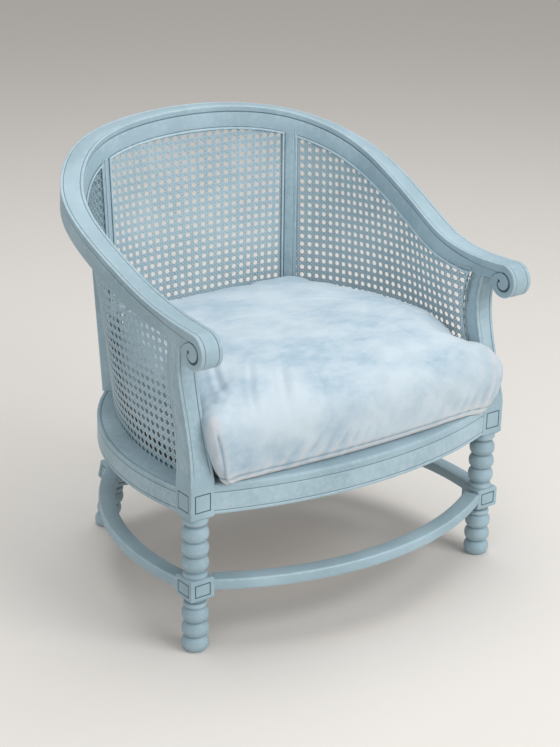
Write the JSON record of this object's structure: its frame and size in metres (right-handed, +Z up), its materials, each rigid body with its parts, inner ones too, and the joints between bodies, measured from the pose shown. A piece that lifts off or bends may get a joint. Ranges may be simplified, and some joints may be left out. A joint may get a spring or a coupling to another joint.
{
  "type": "cane armchair",
  "caption": "Painted tub armchair with a curved cane back, scrolled arms, bobbin-turned legs, a bowed ring of stretchers and a thick loose seat cushion",
  "frame": {"origin": "on the floor under the middle of the chair's width and depth", "axes": "+X to the right of someone who stands in front and looks at the chair, +Y from the front to the back, +Z up"},
  "size_m": [0.6566, 0.5877, 0.7327],
  "materials": {
    "painted_wood": "chalky blue-grey paint with worn edges",
    "painted_cane": "cane and reed under the same paint",
    "bare_wood": "unpainted hardwood and plywood",
    "dowel_wood": "plain beech",
    "screw_steel": "plain zinc",
    "cushion_fabric": "pale washed blue velvet",
    "cushion_filling": "foam with a soft wrap"
  },
  "bodies": {
    "frame": {"back_crest_rail": "painted_wood", "left_arm_rail": "painted_wood", "right_arm_rail": "painted_wood", "left_front_post": "painted_wood", "right_front_post": "painted_wood", "left_rear_leg": "painted_wood", "right_rear_leg": "painted_wood", "left_rear_post": "painted_wood", "right_rear_post": "painted_wood", "front_seat_rail": "painted_wood", "left_seat_rail": "painted_wood", "right_seat_rail": "painted_wood", "back_seat_rail": "painted_wood", "front_stretcher": "painted_wood", "left_stretcher": "painted_wood", "right_stretcher": "painted_wood", "back_stretcher": "painted_wood", "back_cane_panel": "painted_cane", "left_cane_panel": "painted_cane", "right_cane_panel": "painted_cane", "back_cane_spline": "painted_cane", "left_cane_spline": "painted_cane", "right_cane_spline": "painted_cane", "seat_deck": "bare_wood", "left_front_corner_block": "bare_wood", "right_front_corner_block": "bare_wood", "left_rear_corner_block": "bare_wood", "right_rear_corner_block": "bare_wood", "corner_block_screws": "screw_steel", "seat_rail_dowels": "dowel_wood", "crest_dowels": "dowel_wood", "stretcher_dowels": "dowel_wood", "leg_dowels": "dowel_wood", "post_dowels": "dowel_wood"},
    "cushion": {"cushion_cover": "cushion_fabric", "cushion_insert": "cushion_filling"}
  },
  "joints": [
    {"name": "cushion_lift", "type": "slide", "parent": "frame", "child": "cushion", "axis": [0, 0, 1], "range_m": [0, 0.06]}
  ]
}
